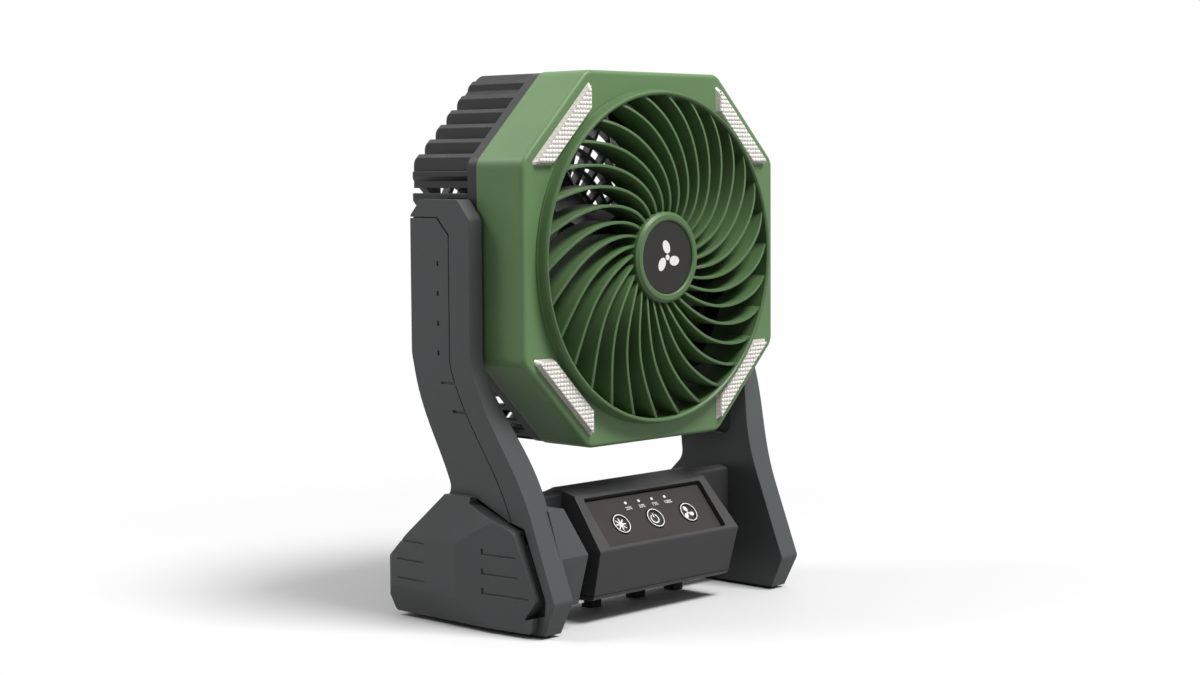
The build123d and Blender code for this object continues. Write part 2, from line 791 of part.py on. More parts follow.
with BuildPart() as arm_cover_right:
    add(skin)
    add(bulge)
    add(bulge_room, mode=Mode.SUBTRACT)
    with BuildSketch(side_plane(leg_out - 4)):
        add(arm_outline())
    extrude(amount=4 + fit - cover_thick, mode=Mode.SUBTRACT)
    add(cell_room.part, mode=Mode.SUBTRACT)
    with BuildSketch(side_plane(leg_out - notch_depth)):
        add(rounded(notch_side))
    extrude(amount=30, mode=Mode.SUBTRACT)
    # shallow grooves on the back and front of the housing, the front ones with a hooked end
    for z, hook_end in zip(groove_heights, hook_ends):
        with BuildSketch(side_plane(bulge_out - groove_depth)):
            with Locations((groove_y, z + 0.8)):
                Rectangle(groove_run, groove_width)
        extrude(amount=10, mode=Mode.SUBTRACT)
        with BuildSketch(facet_plane(groove_depth)):
            with Locations(((hook_start + hook_end) / 2, z)):
                Rectangle(hook_start - hook_end, groove_width)
        extrude(amount=10, mode=Mode.SUBTRACT)
        with BuildSketch(facet_plane(dent_depth)):
            with Locations((hook_start, z + 1.2)):
                SlotOverall(3.6, 1.6, rotation=90)
        extrude(amount=10, mode=Mode.SUBTRACT)
    # row of small dents and two short grooves along the arm
    for step in range(4):
        with BuildSketch(side_plane(arm_out - dent_depth)):
            with Locations((dent_y, dent_top - step * dent_pitch)):
                SlotOverall(3.0, 1.6, rotation=90)
        extrude(amount=10, mode=Mode.SUBTRACT)
    for z, y, surface in ((131.0, 4.5, 111.7), (116.0, -2.4, 109.5)):
        with BuildSketch(side_plane(surface - groove_depth)):
            with Locations((y, z)):
                SlotOverall(12.0, 1.6)
        extrude(amount=10, mode=Mode.SUBTRACT)
arm_cover_right.part.label = "arm_cover_right"

cavity_edge = (arm_in + arm_wall, leg_in + arm_wall, leg_in + arm_wall, 84.0, 56.0)
arm_cavity = arm_block(cover_side(3.0), leg_strip(cavity_edge, 0, outer_edge, 5))

with BuildPart() as cavity_right:
    add(arm_cavity)
    with BuildSketch(side_plane(60)):
        add(arm_outline(3.0))
        with BuildSketch(mode=Mode.PRIVATE) as above_cells:
            with Locations((0, (arm_top + cavity_floor) / 2)):
                Rectangle(300, arm_top - cavity_floor)
        add(above_cells.sketch, mode=Mode.INTERSECT)
    extrude(amount=80, mode=Mode.INTERSECT)

with BuildPart() as arm_frame_right:
    add(arm_block(arm_outline(), leg_strip(inner_edge, 0, outer_edge, 0)))
    add(cover_room, mode=Mode.SUBTRACT)
    add(cell_room.part, mode=Mode.SUBTRACT)
    add(cavity_right.part, mode=Mode.SUBTRACT)
    with BuildSketch(side_plane(leg_out - notch_depth)):
        add(rounded(notch_side))
    extrude(amount=30, mode=Mode.SUBTRACT)
    # the inner face stays clear of the tilting head above a ledge
    with BuildSketch(side_plane(leg_in - 10)):
        add(rounded([
            (lean_y(ledge_z) + flange_inner, ledge_z, 5), (arm_front + flange_inner, bend_z + 3, 20),
            (arm_front + flange_inner, 260, 0), (90, 260, 0), (90, ledge_z, 0),
        ]))
    extrude(amount=arm_in - leg_in + 10, mode=Mode.SUBTRACT)
    # seat of the tilt bush and room for the screw behind the cover
    with BuildSketch(across(1, leg_in)):
        Circle(pin_radius + bush_wall)
    extrude(amount=arm_out - leg_in - 4, mode=Mode.SUBTRACT)
    with BuildSketch(across(1, arm_in + arm_wall)):
        Circle(pin_radius + bush_wall + bush_lip + fit)
    extrude(amount=10, mode=Mode.SUBTRACT)
arm_frame_right.part.label = "arm_frame_right"


def mirrored(piece, label):
    """The same piece on the left side of the fan."""
    with BuildPart() as left:
        mirror(piece.part, about=Plane.YZ)
    left.part.label = label
    return left


# the left leg also carries a block beside the control box, flush with its front
side_block = arm_block(
    rounded([
        (block_top_y, block_top_z, 0), (nose_y, nose_z, 0), (chin_y, chin_z, 2),
        (neck_front - fit, chin_z, 0), (neck_front - fit, block_top_z, 0),
    ]),
    rounded([
        (leg_in + 1, block_top_z + 5, 0), (block_inner_top, block_top_z, 0), (block_inner, nose_z, 2),
        (block_inner + 1.5, chin_z - 5, 0), (leg_in + 1, chin_z - 5, 0),
    ]),
)

with BuildPart() as arm_frame_left:
    add(mirror(arm_frame_right.part, about=Plane.YZ))
    add(mirror(side_block, about=Plane.YZ))
arm_frame_left.part.label = "arm_frame_left"
arm_cover_left = mirrored(arm_cover_right, "arm_cover_left")
cells_left = mirrored(cells_right, "battery_cells_left")

with BuildPart() as foot_pad_right:
    with BuildSketch(Plane.XY):
        with Locations(((foot_in + foot_out) / 2 + 1, (toe_floor + heel_floor) / 2)):
            RectangleRounded(foot_out - foot_in - 2, heel_floor - toe_floor - 2 * pad_inset, 4)
    extrude(amount=pad_height)
foot_pad_right.part.label = "foot_pad_right"
foot_pad_left = mirrored(foot_pad_right, "foot_pad_left")

# ======== stand: crossbar and control box ========

face_tilt = atan2(brow_z - nose_z, brow_y - nose_y)
face_normal = (0, -sin(face_tilt), cos(face_tilt))
face_mid_y = (brow_y + nose_y) / 2
face_mid_z = (brow_z + nose_z) / 2


def panel_plane(height):
    """A plane parallel to the control face, raised by height."""
    origin = (0, face_mid_y + height * face_normal[1], face_mid_z + height * face_normal[2])
    return Plane(origin=origin, x_dir=(1, 0, 0), z_dir=face_normal)


box_side = [
    (nose_y, nose_z, 1.5), (chin_y, chin_z, 3), (bar_back, chin_z - 2, 3), (bar_back - 2, ridge_z - 9, 5),
    (ridge_y, ridge_z, 3), (brow_y, brow_z, 1.2),
]
neck_side = [
    (neck_front, neck_low, 3), (neck_front + 4, chin_z + 1, 3), (bar_back, chin_z - 2, 3),
    (bar_back - 2, ridge_z - 11, 5), (ridge_y, ridge_z - 1.5, 3), (neck_front, ridge_z - 3, 2),
]
box_front = [
    (-box_half_top, ridge_z + 2, 0), (box_half_top, ridge_z + 2, 0), (box_half, nose_z, 3),
    (box_half - 1.5, chin_z - 4, 0), (-box_half + 1.5, chin_z - 4, 0), (-box_half, nose_z, 3),
]


def bar_solid(inset):
    """Crossbar with its control box, shrunk by inset on all sides."""
    with BuildPart() as solid:
        with BuildSketch(side_plane(-box_half - 1)):
            add(rounded(box_side))
            if inset > 0:
                offset(amount=-inset, kind=Kind.INTERSECTION)
        extrude(amount=2 * box_half + 2)
        with BuildSketch(front_view):
            add(rounded(box_front))
            if inset > 0:
                offset(amount=-inset, kind=Kind.INTERSECTION)
        extrude(amount=100, both=True, mode=Mode.INTERSECT)
        with BuildSketch(side_plane(-leg_in + fit + inset)):
            add(rounded(neck_side))
            if inset > 0:
                offset(amount=-inset, kind=Kind.INTERSECTION)
        extrude(amount=2 * (leg_in - fit - inset))
    return solid.part


recess = panel_sink + panel_thick
floor_back = recess + 2.4
button_flange = 1.2
switch_top = floor_back + move_gap + button_flange + button_travel + move_gap
board_top = switch_top + 3.4
board_thick = 1.6
board_half = 40.0
button_spots = [(step * button_pitch, -button_drop) for step in (-1, 0, 1)]
light_spots = [((step - 1.5) * light_pitch, light_rise) for step in range(4)]
post_spots = [(side * (board_half - 4), rise) for side in (-1, 1) for rise in (-9, 9)]

with BuildPart() as crossbar:
    add(bar_solid(0))
    add(bar_solid(bar_wall), mode=Mode.SUBTRACT)
    # thicker wall behind the control face
    with BuildSketch(panel_plane(-0.2)):
        Rectangle(2 * panel_half + 6, panel_high + 5)
    extrude(amount=-(floor_back - 0.2))
    with BuildSketch(panel_plane(0)):
        RectangleRounded(2 * panel_half + 2 * panel_gap, panel_high + 2 * panel_gap, 1.5)
    extrude(amount=-recess, mode=Mode.SUBTRACT)
    with BuildSketch(panel_plane(-recess)):
        with Locations(*button_spots):
            Circle(button_radius + button_gap)
        with Locations(*light_spots):
            Circle(light_radius + fit)
    extrude(amount=-20, mode=Mode.SUBTRACT)
    with BuildSketch(panel_plane(-floor_back + 0.5)):
        with Locations(*post_spots):
            Circle(2.4)
    extrude(amount=-(board_top - floor_back + 0.5 - fit))
    # charging socket in the back wall
    with BuildSketch(Plane(origin=(0, bar_back + 1, port_z), x_dir=(1, 0, 0), z_dir=(0, 1, 0))):
        SlotOverall(port_width + 2 * fit, port_height + 2 * fit)
    extrude(amount=-8, mode=Mode.SUBTRACT)

with BuildPart() as crossbar_shell:
    add(crossbar.part)
    split(bisect_by=Plane.XY.offset(split_z + seam / 2), keep=Keep.TOP)
crossbar_shell.part.label = "crossbar_shell"

with BuildPart() as crossbar_base:
    add(crossbar.part)
    split(bisect_by=Plane.XY.offset(split_z - seam / 2), keep=Keep.BOTTOM)
    with BuildSketch(Plane.XY.offset(chin_z - 2.5)):
        with Locations(*[(x, base_screw_y) for x in (-50, -12, 12, 50)]):
            Circle(screw_shank + fit)
    extrude(amount=8, mode=Mode.SUBTRACT)
crossbar_base.part.label = "crossbar_base"

with BuildPart() as control_panel:
    with BuildSketch(panel_plane(-recess)):
        RectangleRounded(2 * panel_half, panel_high, 1.2)
        with Locations(*button_spots):
            Circle(button_radius + button_gap, mode=Mode.SUBTRACT)
        with Locations(*light_spots):
            Circle(light_radius + fit, mode=Mode.SUBTRACT)
    extrude(amount=panel_thick)
control_panel.part.label = "control_panel"


def push_button(spot, label):
    """Round button with a dished top and a collar under the shell."""
    top = button_lift - panel_sink
    with BuildPart() as button:
        with BuildSketch(panel_plane(-floor_back - move_gap - button_flange)):
            with Locations(spot):
                Circle(button_radius + 1.4)
        extrude(amount=button_flange)
        with BuildSketch(panel_plane(-floor_back - move_gap - 0.2)):
            with Locations(spot):
                Circle(button_radius)
        extrude(amount=floor_back + move_gap + 0.2 + top)
        rim = button.faces().sort_by(Axis(panel_plane(0).origin, face_normal))[-1]
        fillet(rim.edges(), 0.3)
        with BuildSketch(panel_plane(top)):
            with Locations(spot):
                Circle(button_radius - button_rim)
        extrude(amount=-button_dish, taper=30, mode=Mode.SUBTRACT)
    button.part.label = label
    return button


button_names = ("light_button", "power_button", "fan_button")
buttons = [push_button(spot, name) for spot, name in zip(button_spots, button_names)]

with BuildPart() as control_board:
    with BuildSketch(panel_plane(-board_top - board_thick)):
        RectangleRounded(2 * board_half, 24, 1.5)
    extrude(amount=board_thick)
control_board.part.label = "control_board"

with BuildPart() as button_switches:
    with BuildSketch(panel_plane(-board_top)):
        with Locations(*button_spots):
            RectangleRounded(6, 6, 0.5)
    extrude(amount=2.4)
    with BuildSketch(panel_plane(-board_top + 2.4)):
        with Locations(*button_spots):
            Circle(1.75)
    extrude(amount=board_top - 2.4 - switch_top)
button_switches.part.label = "button_switches"

with BuildPart() as indicator_lights:
    with BuildSketch(panel_plane(-board_top)):
        with Locations(*light_spots):
            Circle(light_radius)
    extrude(amount=board_top - panel_sink + 0.2)
indicator_lights.part.label = "indicator_lights"

with BuildPart() as charge_port:
    with BuildSketch(Plane(origin=(0, bar_back - 0.3, port_z), x_dir=(1, 0, 0), z_dir=(0, 1, 0))):
        SlotOverall(port_width, port_height)
    extrude(amount=-8)
    with BuildSketch(Plane(origin=(0, bar_back - 0.3, port_z), x_dir=(1, 0, 0), z_dir=(0, 1, 0))):
        SlotOverall(port_width - 0.8, port_height - 0.8)
    extrude(amount=-6.5, mode=Mode.SUBTRACT)
    with BuildSketch(Plane(origin=(0, bar_back - 1.5, port_z), x_dir=(1, 0, 0), z_dir=(0, 1, 0))):
        Rectangle(port_width - 3, 0.7)
    extrude(amount=-6)
charge_port.part.label = "charge_port"

with BuildPart() as bar_feet:
    with BuildSketch(Plane.XY):
        with Locations(*[(x, bar_foot_y) for x in (-bar_foot_far, -bar_foot_x, bar_foot_x, bar_foot_far)]):
            RectangleRounded(10, 8, 2)
    extrude(amount=bar_foot_height)
bar_feet.part.label = "bar_feet"

with BuildPart() as base_screws:
    for x in (-50, -12, 12, 50):
        with BuildSketch(Plane.XY.offset(chin_z - 3.2)):
            with Locations((x, base_screw_y)):
                Circle(2.6)
        extrude(amount=1.4)
        with BuildSketch(Plane.XY.offset(chin_z - 2.5)):
            with Locations((x, base_screw_y)):
                Circle(screw_shank)
        extrude(amount=6)
base_screws.part.label = "base_screws"

os.makedirs("parts", exist_ok=True)
pieces = [
    front_shell, front_grille, hub_badge, light_upper_right, light_lower_right, light_lower_left,
    light_upper_left, led_boards, rear_cage, rear_guard, motor_can, motor_screws, rotor_shaft, fan_rotor,
    *tilt_pins, *tilt_washers, *pivot_bushes, *pivot_screws, arm_frame_left, arm_frame_right,
    arm_cover_left, arm_cover_right, cells_left, cells_right, foot_pad_left, foot_pad_right,
    crossbar_shell, crossbar_base, control_panel, *buttons, control_board, button_switches,
    indicator_lights, charge_port, bar_feet, base_screws,
]
for piece in pieces:
    export_step(piece.part, "parts/" + piece.part.label + ".step")
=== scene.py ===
from math import atan2, cos, pi, radians, sin

import bmesh
import bpy
from mathutils import Matrix, Vector


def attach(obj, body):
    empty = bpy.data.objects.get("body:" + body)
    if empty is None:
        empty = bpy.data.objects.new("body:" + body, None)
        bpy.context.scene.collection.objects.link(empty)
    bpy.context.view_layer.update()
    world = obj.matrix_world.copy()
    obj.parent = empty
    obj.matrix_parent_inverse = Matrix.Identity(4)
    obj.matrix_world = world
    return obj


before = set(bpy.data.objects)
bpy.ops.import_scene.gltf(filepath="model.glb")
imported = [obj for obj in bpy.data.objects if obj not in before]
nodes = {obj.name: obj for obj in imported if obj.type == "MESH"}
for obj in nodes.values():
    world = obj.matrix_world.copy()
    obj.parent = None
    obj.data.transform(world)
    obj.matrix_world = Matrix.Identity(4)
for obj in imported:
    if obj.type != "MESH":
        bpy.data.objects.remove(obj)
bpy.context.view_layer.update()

# ---- sizes; the front of the fan looks along -y ----

MM = 0.001

# head
HEAD_Z = 195.0 * MM                 # height of the fan's axis
FACE_Y = -41.0 * MM                 # front face of the head
BADGE_FRONT = FACE_Y - 9.0 * MM     # front of the disc in the hub
HUB_SIGN_REACH = 9.5 * MM
HUB_SIGN_THICK = 0.20 * MM
HUB_SIGN_SUNK = 0.03 * MM

# lamp covers, measured out from the fan's axis along the two sides that meet at their corner
LAMP_NEAR = 51.9 * MM               # straight edges
LAMP_INNER = 80.2 * MM              # where the slanted inner edge ends
LAMP_REACH = 92.2 * MM              # where the slanted outer edge ends
PEBBLE_BASE = FACE_Y - 2.6 * MM     # the plane that the pebbles rise from
PEBBLE_PITCH = 2.3 * MM
PEBBLE_HEIGHT = 0.8 * MM
PEBBLE_SHEET_DEPTH = 0.15 * MM      # how far the sheet goes down into the cover
PEBBLE_SHEET_CELLS = 88

# control face: heights are above the plane through its upper and lower edge
BROW = Vector((0, -29.5, 67.6)) * MM
NOSE = Vector((0, -52.3, 40.4)) * MM
FACE_LEAN = atan2(BROW.z - NOSE.z, BROW.y - NOSE.y)
BUTTON_PITCH = 27.3 * MM
BUTTON_DROP = -2.0 * MM
BUTTON_TOP = -2.1 * MM
DISH_FLOOR = BUTTON_TOP - 0.9 * MM  # floor of the dish in a button, where its sign is
RING_RADIUS = 5.6 * MM
RING_WIDTH = 0.5 * MM
PRINT_THICK = 0.12 * MM
PRINT_SUNK = 0.02 * MM
FILM_TOP = -2.6 * MM                # front of the sunk plate
NUMBER_HEIGHT = 2.9 * MM
NUMBER_PITCH = 10.6 * MM
NUMBER_SHIFT = 0.6 * MM
NUMBER_UP = 6.7 * MM
NUMBER_RAISE = 0.05 * MM


# ---- colours and shader building ----

def colour(red, green, blue):
    """A colour given as it looks on a screen, 0 to 255, as the shader wants it."""
    def straight(value):
        value /= 255
        return value / 12.92 if value <= 0.04045 else ((value + 0.055) / 1.055) ** 2.4
    return (straight(red), straight(green), straight(blue), 1.0)


def scaled(tone, factor, lift=0.0):
    """A colour made lighter or darker, with white as its limit."""
    return tuple(min(1.0, value * factor + lift) for value in tone[:3]) + (1.0,)


def add_node(tree, kind, **settings):
    """A new node; settings name its properties, or its input sockets where it has no such property."""
    node = tree.nodes.new(kind)
    for name, value in settings.items():
        if hasattr(node, name):
            setattr(node, name, value)
        else:
            node.inputs[name.replace("_", " ").title()].default_value = value
    return node


def start_group(name, inputs, outputs):
    """An empty shader group with named inputs and outputs."""
    group = bpy.data.node_groups.new(name, "ShaderNodeTree")
    for label, kind, value in inputs:
        socket = group.interface.new_socket(label, in_out="INPUT", socket_type=kind)
        socket.default_value = value
    for label, kind in outputs:
        group.interface.new_socket(label, in_out="OUTPUT", socket_type=kind)
    return group, group.nodes.new("NodeGroupInput"), group.nodes.new("NodeGroupOutput")


def object_place(tree):
    """Where a point is on its own piece, in metres."""
    return add_node(tree, "ShaderNodeTexCoord").outputs["Object"]


def noise(tree, vector, scale, detail=2.0, rough=0.5):
    """Cloudy noise, 0 to 1, with scale clouds to the metre."""
    node = add_node(tree, "ShaderNodeTexNoise", scale=scale, detail=detail, roughness=rough)
    tree.links.new(vector, node.inputs["Vector"])
    return node.outputs["Fac"]


def ramp(tree, factor, low, high, to_low=0.0, to_high=1.0):
    """Goes smoothly from to_low to to_high while factor goes from low to high."""
    node = add_node(tree, "ShaderNodeMapRange", interpolation_type="SMOOTHSTEP")
    for label, value in (("From Min", low), ("From Max", high), ("To Min", to_low), ("To Max", to_high)):
        node.inputs[label].default_value = value
    tree.links.new(factor, node.inputs["Value"])
    return node.outputs["Result"]


def fill_sockets(tree, pairs):
    """Gives each socket its value, or links it where the value is another node's output."""
    for socket, value in pairs:
        if isinstance(value, (int, float, tuple)):
            socket.default_value = value
        else:
            tree.links.new(value, socket)


def maths(tree, operation, *values):
    """One step of arithmetic on numbers or sockets."""
    node = add_node(tree, "ShaderNodeMath", operation=operation)
    fill_sockets(tree, zip(node.inputs, values))
    return node.outputs[0]


def blend_colours(tree, factor, first, second):
    """The first colour where factor is 0 and the second where it is 1."""
    node = add_node(tree, "ShaderNodeMix", data_type="RGBA")
    fill_sockets(tree, ((node.inputs[0], factor), (node.inputs[6], first), (node.inputs[7], second)))
    return node.outputs[2]


def moulded_grain_group():
    """Spark-eroded mould texture: fine pits, broad flow marks and a rubbed rim along edges."""
    group, given, result = start_group(
        "moulded_grain",
        [("Pit Scale", "NodeSocketFloat", 1500.0), ("Edge Reach", "NodeSocketFloat", 0.0007)],
        [("Height", "NodeSocketFloat"), ("Flow", "NodeSocketFloat"), ("Rub", "NodeSocketFloat"),
         ("Scuff", "NodeSocketFloat"), ("Rounded Normal", "NodeSocketVector")],
    )
    place = object_place(group)
    pits = add_node(group, "ShaderNodeTexVoronoi", feature="SMOOTH_F1")
    group.links.new(place, pits.inputs["Vector"])
    group.links.new(given.outputs["Pit Scale"], pits.inputs["Scale"])
    grit = add_node(group, "ShaderNodeTexNoise", detail=3.0, roughness=0.6)
    group.links.new(place, grit.inputs["Vector"])
    group.links.new(maths(group, "MULTIPLY", given.outputs["Pit Scale"], 0.45), grit.inputs["Scale"])
    height = maths(group, "MULTIPLY_ADD", pits.outputs["Distance"], 0.6, grit.outputs["Fac"])
    group.links.new(height, result.inputs["Height"])
    group.links.new(noise(group, place, scale=28.0, detail=2.0, rough=0.45), result.inputs["Flow"])
    scuff = ramp(group, noise(group, place, scale=210.0, detail=5.0, rough=0.7), 0.62, 0.78)
    group.links.new(scuff, result.inputs["Scuff"])
    rounded = add_node(group, "ShaderNodeBevel", samples=6)
    group.links.new(given.outputs["Edge Reach"], rounded.inputs["Radius"])
    group.links.new(rounded.outputs["Normal"], result.inputs["Rounded Normal"])
    # near an edge the rounded normal leans away from the real one
    flat = add_node(group, "ShaderNodeNewGeometry")
    turn = add_node(group, "ShaderNodeVectorMath", operation="DOT_PRODUCT")
    group.links.new(rounded.outputs["Normal"], turn.inputs[0])
    group.links.new(flat.outputs["Normal"], turn.inputs[1])
    edge = ramp(group, turn.outputs["Value"], 0.97, 0.72)
    patchy = ramp(group, noise(group, place, scale=95.0, detail=4.0, rough=0.65), 0.35, 0.7)
    group.links.new(maths(group, "MULTIPLY", edge, patchy), result.inputs["Rub"])
    return group


def dust_group():
    """Fine pale dust that settles on faces that look up."""
    group, given, result = start_group(
        "settled_dust", [("Amount", "NodeSocketFloat", 0.1)], [("Mask", "NodeSocketFloat")],
    )
    up = add_node(group, "ShaderNodeSeparateXYZ")
    group.links.new(add_node(group, "ShaderNodeNewGeometry").outputs["Normal"], up.inputs[0])
    lying = ramp(group, up.outputs["Z"], 0.45, 0.98)
    patchy = ramp(group, noise(group, object_place(group), scale=60.0, detail=6.0, rough=0.7), 0.42, 0.75)
    layer = maths(group, "MULTIPLY", maths(group, "MULTIPLY", lying, patchy), given.outputs["Amount"])
    group.links.new(layer, result.inputs["Mask"])
    return group


# ---- materials ----

FLOW_TINT = 0.10        # how far flow marks lighten and darken the colour
FLOW_GLOSS = 0.10       # how far they change the roughness
SCUFF_GLOSS = 0.10      # how much rougher scuffs are
DUST_COLOUR = colour(176, 172, 164)

moulded_grain = moulded_grain_group()
settled_dust = dust_group()


def blank_material(name):
    """A material with only its shader, which the caller sets."""
    material = bpy.data.materials.new(name)
    material.use_nodes = True
    tree = material.node_tree
    tree.nodes.clear()
    shader = add_node(tree, "ShaderNodeBsdfPrincipled")
    output = add_node(tree, "ShaderNodeOutputMaterial")
    tree.links.new(shader.outputs[0], output.inputs[0])
    return material, tree, shader


def bump_shader(tree, shader, height, strength, distance, normal=None):
    """Gives the shader a fine relief, on top of normal where there is one."""
    bump = add_node(tree, "ShaderNodeBump", strength=strength, distance=distance)
    tree.links.new(height, bump.inputs["Height"])
    if normal is not None:
        tree.links.new(normal, bump.inputs["Normal"])
    tree.links.new(bump.outputs["Normal"], shader.inputs["Normal"])


def plastic(
    name, base, rough=0.48, pit_scale=1500.0, depth=0.05, rub=0.25, dust=0.08, reach=0.0007, shine=0.3,
):
    """Moulded plastic with grain, flow marks, rubbed edges and a trace of dust."""
    material, tree, shader = blank_material(name)
    shader.inputs["Specular IOR Level"].default_value = shine
    grain = add_node(tree, "ShaderNodeGroup", node_tree=moulded_grain)
    grain.inputs["Pit Scale"].default_value = pit_scale
    grain.inputs["Edge Reach"].default_value = reach
    powder = add_node(tree, "ShaderNodeGroup", node_tree=settled_dust)
    powder.inputs["Amount"].default_value = dust
    dark, light = scaled(base, 1 - FLOW_TINT), scaled(base, 1 + FLOW_TINT)
    body = blend_colours(tree, grain.outputs["Flow"], dark, light)
    rubbed = maths(tree, "MULTIPLY", grain.outputs["Rub"], rub)
    body = blend_colours(tree, rubbed, body, scaled(base, 1.5, lift=0.02))
    body = blend_colours(tree, powder.outputs["Mask"], body, DUST_COLOUR)
    tree.links.new(body, shader.inputs["Base Color"])
    gloss = maths(tree, "MULTIPLY_ADD", grain.outputs["Flow"], FLOW_GLOSS, rough - FLOW_GLOSS / 2)
    gloss = maths(tree, "ADD", gloss, maths(tree, "MULTIPLY", grain.outputs["Scuff"], SCUFF_GLOSS))
    gloss = maths(tree, "ADD", gloss, powder.outputs["Mask"])
    tree.links.new(gloss, shader.inputs["Roughness"])
    bump_shader(tree, shader, grain.outputs["Height"], depth, 0.0004, grain.outputs["Rounded Normal"])
    return material


def turned_metal(name, base, rough=0.3, scale=900.0):
    """Plated steel with fine machining lines and a few stains."""
    material, tree, shader = blank_material(name)
    shader.inputs["Metallic"].default_value = 1.0
    place = object_place(tree)
    stretch = add_node(tree, "ShaderNodeMapping")
    stretch.inputs["Scale"].default_value = (1.0, 0.08, 1.0)
    tree.links.new(place, stretch.inputs["Vector"])
    lines = noise(tree, stretch.outputs["Vector"], scale, detail=4.0, rough=0.6)
    stain = ramp(tree, noise(tree, place, scale=120.0, detail=4.0), 0.5, 0.8)
    tree.links.new(blend_colours(tree, stain, base, scaled(base, 0.7)), shader.inputs["Base Color"])
    tree.links.new(ramp(tree, lines, 0.2, 0.8, rough - 0.08, rough + 0.12), shader.inputs["Roughness"])
    bump_shader(tree, shader, lines, 0.15, 0.0002)
    return material


def pebble_mask(tree, place):
    """1 on the crown of each small square pillow, 0 in the grooves between them."""
    parts = add_node(tree, "ShaderNodeSeparateXYZ")
    tree.links.new(place, parts.inputs[0])
    waves = []
    for axis, shift in (("X", 0.0), ("Z", -pi * (HEAD_Z / PEBBLE_PITCH % 1.0))):
        wave = maths(tree, "MULTIPLY_ADD", parts.outputs[axis], pi / PEBBLE_PITCH, shift)
        waves.append(maths(tree, "ABSOLUTE", maths(tree, "COSINE", wave)))
    return maths(tree, "POWER", maths(tree, "MULTIPLY", *waves), 0.6)


def pebbled_cover(name):
    """Milky lamp cover moulded in small square pebbles, with painted shade in the grooves between them and
    on its side walls.
    """
    material, tree, shader = blank_material(name)
    place = object_place(tree)
    cloud = noise(tree, place, scale=140.0, detail=3.0)
    crown = blend_colours(tree, cloud, colour(238, 234, 228), colour(250, 248, 244))
    pebbles = ramp(tree, pebble_mask(tree, place), 0.15, 0.8)
    facing = add_node(tree, "ShaderNodeSeparateXYZ")
    tree.links.new(add_node(tree, "ShaderNodeNewGeometry").outputs["Normal"], facing.inputs[0])
    # side walls, which face across rather than to the front, get a darker colour: painted shade
    front = ramp(tree, maths(tree, "ABSOLUTE", facing.outputs["Y"]), 0.35, 0.75)
    # the grooves between the pebbles get a darker colour than their crowns: painted shade
    body = blend_colours(tree, pebbles, colour(196, 190, 182), crown)
    tree.links.new(blend_colours(tree, front, colour(178, 174, 166), body), shader.inputs["Base Color"])
    haze = ramp(tree, noise(tree, place, scale=700.0), 0.3, 0.7, 0.16, 0.30)
    tree.links.new(haze, shader.inputs["Roughness"])
    shader.inputs["Subsurface Weight"].default_value = 0.12
    shader.inputs["Subsurface Radius"].default_value = (0.002, 0.002, 0.002)
    shader.inputs["Subsurface Scale"].default_value = 0.5
    shader.inputs["Coat Weight"].default_value = 0.5
    shader.inputs["Coat Roughness"].default_value = 0.08
    bump_shader(tree, shader, noise(tree, place, scale=900.0), 0.10, 0.0003)
    return material


# one olive green plastic in two tones: the shell's is painted lighter as painted light on the front face,
# the grille's darker as painted shade on its vanes
green_shell = plastic(
    "olive_green_shell", colour(93, 123, 81), rough=0.42, pit_scale=1700.0, rub=0.22, dust=0.05,
)
green_grille_painted_shade = plastic(
    "olive_green_grille", colour(79, 106, 67), rough=0.42, pit_scale=1700.0, rub=0.22, dust=0.05,
)
cage_grey = plastic("cage_grey", colour(42, 41, 42), rough=0.45, rub=0.22)
stand_grey = plastic("stand_dark_grey", colour(71, 72, 73), rough=0.47)
# the crossbar is the stand's grey painted darker: painted shade under the head and on its down-facing front
bar_grey_painted_shade = plastic("crossbar_grey_painted_shade", colour(54, 54, 55), rough=0.45)
rotor_black = plastic(
    "rotor_smoke_black", colour(34, 37, 37), rough=0.22, depth=0.02, rub=0.10, dust=0.12,
)
badge_black = plastic(
    "badge_satin_black", colour(30, 29, 27), rough=0.40, depth=0.02, rub=0.12, dust=0.03,
)
panel_film = plastic(
    "panel_film", colour(54, 51, 50), rough=0.50, pit_scale=2600.0, depth=0.02, rub=0.10, dust=0.02,
    shine=0.14,
)
button_dark = plastic(
    "button_dark", colour(38, 36, 35), rough=0.36, depth=0.02, rub=0.15, dust=0.05, reach=0.0004,
)
print_white = plastic(
    "printed_white", colour(232, 230, 226), rough=0.40, depth=0.02, rub=0.0, dust=0.05, reach=0.0001,
)
rubber_black = plastic(
    "foot_rubber", colour(32, 32, 32), rough=0.78, pit_scale=900.0, depth=0.10, rub=0.12, dust=0.10,
)
nylon_white = plastic("bush_nylon", colour(196, 190, 178), rough=0.50, rub=0.05)
switch_black = plastic("switch_black", colour(26, 26, 27), rough=0.50)
board_white = plastic("board_mask", colour(222, 221, 214), rough=0.35, depth=0.02, rub=0.05)
cell_blue = plastic("cell_wrap", colour(58, 112, 152), rough=0.28, depth=0.02, rub=0.05)
plated_steel = turned_metal("plated_steel", colour(186, 186, 184), rough=0.28)
motor_steel = turned_metal("motor_steel", colour(150, 151, 153), rough=0.36, scale=600.0)
lamp_cover = pebbled_cover("lamp_cover")

